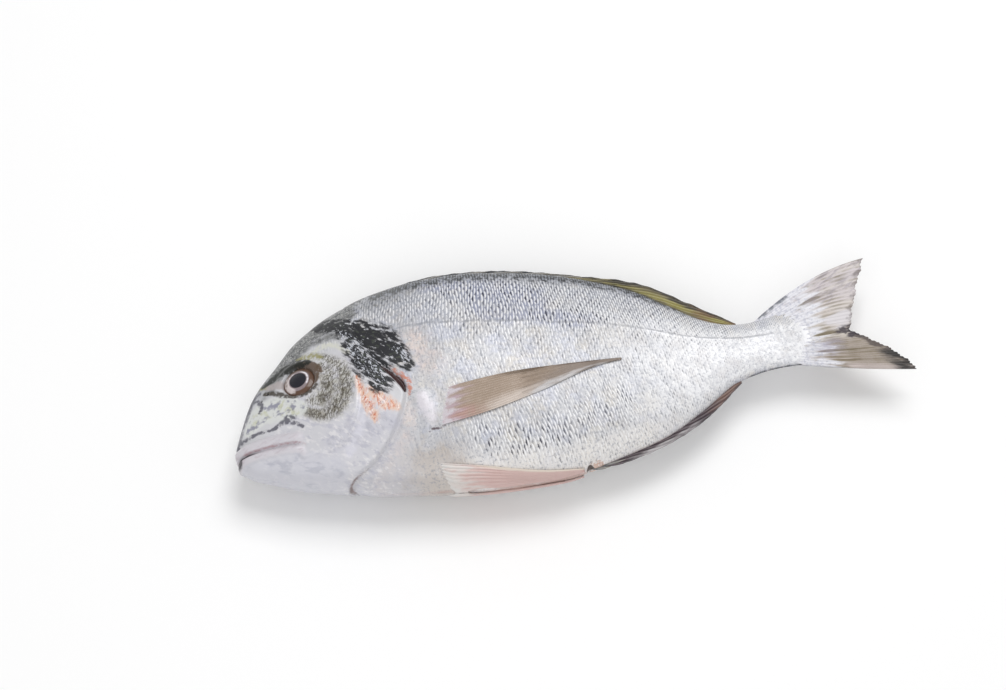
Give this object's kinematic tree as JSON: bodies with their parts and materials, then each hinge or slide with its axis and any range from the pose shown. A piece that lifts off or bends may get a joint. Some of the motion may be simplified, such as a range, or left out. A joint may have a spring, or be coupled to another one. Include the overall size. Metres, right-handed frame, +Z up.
{
  "type": "sea bream",
  "caption": "Whole fresh sea bream with silver skin, dark gill mark, folded fins and forked tail, lying flat on its right side.",
  "frame": {"origin": "on the table under the middle of the fish's bounding box", "axes": "+X from the snout to the tail, +Y from the belly to the back, +Z up from the table, out of the left flank"},
  "size_m": [0.3102, 0.1144, 0.0445],
  "materials": {
    "skin": "wet silver skin"
  },
  "bodies": {
    "root": {"sea_bream": "skin"}
  },
  "joints": []
}
